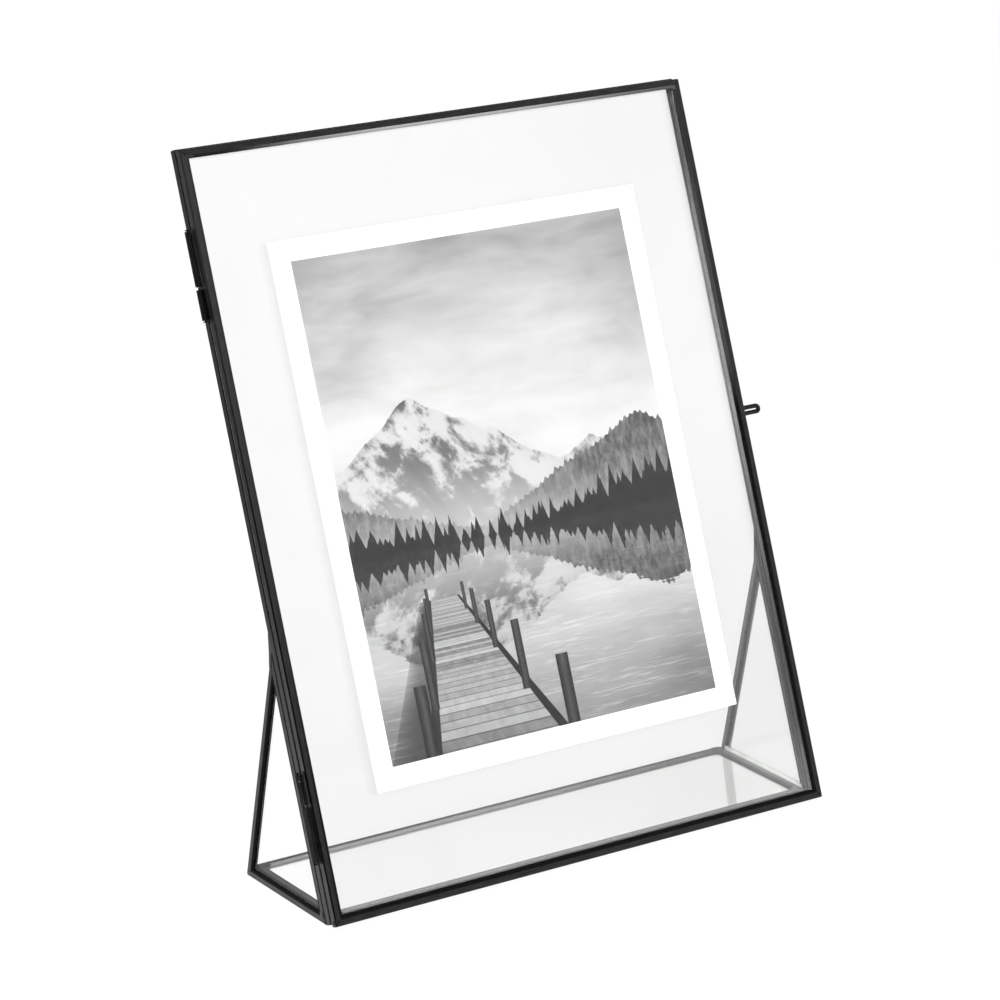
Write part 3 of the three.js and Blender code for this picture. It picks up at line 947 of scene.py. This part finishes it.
def background_share(tree):
    """1 for a ray that looks straight or through glass at the background, and 1 for a mirrored one."""
    path = tree.nodes.new("ShaderNodeLightPath")
    seen = Num(tree, path.outputs["Is Camera Ray"]).high(Num(tree, path.outputs["Is Transmission Ray"]))
    return seen, Num(tree, path.outputs["Is Glossy Ray"])


def floor_material():
    """Pale paper. Looked at, it is white, and so it is through the panes but for a painted shadow in the
    patch under the base, darker to the right. In mirrored rays it is a painted pool of light that fades to
    the room's tone."""
    material = bpy.data.materials.new("floor")
    material.use_nodes = True
    tree = material.node_tree
    tree.nodes.clear()
    output = tree.nodes.new("ShaderNodeOutputMaterial")
    paper = tree.nodes.new("ShaderNodeBsdfDiffuse")
    paper.inputs["Color"].default_value = (0.86, 0.86, 0.86, 1)
    light = tree.nodes.new("ShaderNodeEmission")
    seen, glossy = background_share(tree)
    mix = tree.nodes.new("ShaderNodeMixShader")
    place = tree.nodes.new("ShaderNodeTexCoord")
    length = tree.nodes.new("ShaderNodeVectorMath")
    length.operation = "LENGTH"
    tree.links.new(place.outputs["Object"], length.inputs[0])
    away = Num(tree, length.outputs["Value"])
    split = tree.nodes.new("ShaderNodeSeparateXYZ")
    tree.links.new(place.outputs["Object"], split.inputs[0])
    x, y = (Num(tree, split.outputs[k]) for k in range(2))
    rim = 0.012
    wide, deep = BASE_HALF_WIDTH * MM, BASE_DEPTH * MM / 2
    # The patch under the base, which through the panes holds a painted shadow, darker to the right.
    under = x.size().ramp(wide - rim, wide + rim, 1.0, 0.0)
    under = under * (y - deep).size().ramp(deep - rim, deep + rim, 1.0, 0.0)
    through = Num(tree, tree.nodes.new("ShaderNodeLightPath").outputs["Is Transmission Ray"])
    below = (under * through).mix(1.03, x.ramp(-0.03, 0.1, 0.95, 0.86))
    # Mirrored rays see a painted pool of light, bright near the object and fading away from it.
    strength = seen.mix(away.ramp(0.18, 0.52, 1.38, 0.36), below)
    tree.links.new(strength.socket, light.inputs["Strength"])
    share = seen.high(glossy) * 0.93
    tree.links.new(share.socket, mix.inputs[0])
    tree.links.new(paper.outputs[0], mix.inputs[1])
    tree.links.new(light.outputs[0], mix.inputs[2])
    tree.links.new(mix.outputs[0], output.inputs["Surface"])
    return material


floor_mesh.materials.append(floor_material())

# The world: white where it is looked at. In the metal and glass it is a window to the right and a bright
# room behind, and elsewhere an even dim light.
AMBIENT = 0.4
world = bpy.data.worlds.new("studio")
bpy.context.scene.world = world
world.use_nodes = True
tree = world.node_tree
tree.nodes.clear()
world_output = tree.nodes.new("ShaderNodeOutputWorld")
light = tree.nodes.new("ShaderNodeBackground")
seen, glossy = background_share(tree)
direction = tree.nodes.new("ShaderNodeTexCoord")
split = tree.nodes.new("ShaderNodeSeparateXYZ")
tree.links.new(direction.outputs["Generated"], split.inputs[0])
right, back, height = (Num(tree, split.outputs[k]) for k in range(3))
window = right.ramp(0.0, 0.42, 0.32, 1.0) * height.ramp(0.42, 0.6, 1.0, 0.0)
window = window * height.ramp(0.16, 0.4, 0.92, 1.32) + 0.03
mirrored = back.ramp(0.0, 0.25).mix(window, height.ramp(0.5, 0.8, 1.2, 0.1))
through = Num(tree, tree.nodes.new("ShaderNodeLightPath").outputs["Is Transmission Ray"])
rising = through * height.ramp(0.06, 0.18)
strength = rising.mix(seen.mix(glossy.mix(AMBIENT, mirrored), 1.0), mirrored)
light.inputs["Color"].default_value = (1, 1, 1, 1)
tree.links.new(strength.socket, light.inputs["Strength"])
tree.links.new(light.outputs[0], world_output.inputs["Surface"])


def area_lamp(name, place, aim, size, power):
    data = bpy.data.lights.new(name, "AREA")
    data.shape = "RECTANGLE"
    data.size, data.size_y = size
    data.energy = power
    lamp = bpy.data.objects.new(name, data)
    lamp.location = place
    lamp.rotation_euler = (Vector(aim) - Vector(place)).to_track_quat("-Z", "Y").to_euler()
    lamp.visible_camera = lamp.visible_glossy = False
    bpy.context.scene.collection.objects.link(lamp)
    return lamp


area_lamp("key", (-0.9, -1.5, 1.5), (0, 0, 0.12), (1.2, 1.2), 32)
area_lamp("fill", (0.9, -0.5, 1.7), (0, 0, 0.12), (1.0, 1.4), 16)
area_lamp("back", (-0.9, 1.6, 1.3), (0, 0.03, 0.12), (1.2, 1.2), 20)

# The camera, from a fit to the frame's own corners
AZIMUTH, ELEVATION = math.radians(34.343), math.radians(17.773)
FOCAL_PIXELS, IMAGE_PIXELS, SENSOR = 4012.87, 1000, 36.0
CENTRE_SHIFT = (39.015, -2.033)
TARGET = Vector((0.0, 0.023, 0.131))
DISTANCE = 1.441692
camera_data = bpy.data.cameras.new("camera")
camera_data.sensor_width = SENSOR
camera_data.lens = FOCAL_PIXELS * SENSOR / IMAGE_PIXELS
camera_data.shift_x = -CENTRE_SHIFT[0] / IMAGE_PIXELS
camera_data.shift_y = CENTRE_SHIFT[1] / IMAGE_PIXELS
camera_data.clip_start = 0.05
camera = bpy.data.objects.new("camera", camera_data)
looking = Vector((
    math.sin(AZIMUTH) * math.cos(ELEVATION),
    math.cos(AZIMUTH) * math.cos(ELEVATION),
    -math.sin(ELEVATION),
))
camera.location = TARGET - looking * DISTANCE
camera.rotation_euler = looking.to_track_quat("-Z", "Y").to_euler()
bpy.context.scene.collection.objects.link(camera)
bpy.context.scene.camera = camera
bpy.context.scene.view_settings.view_transform = "Standard"
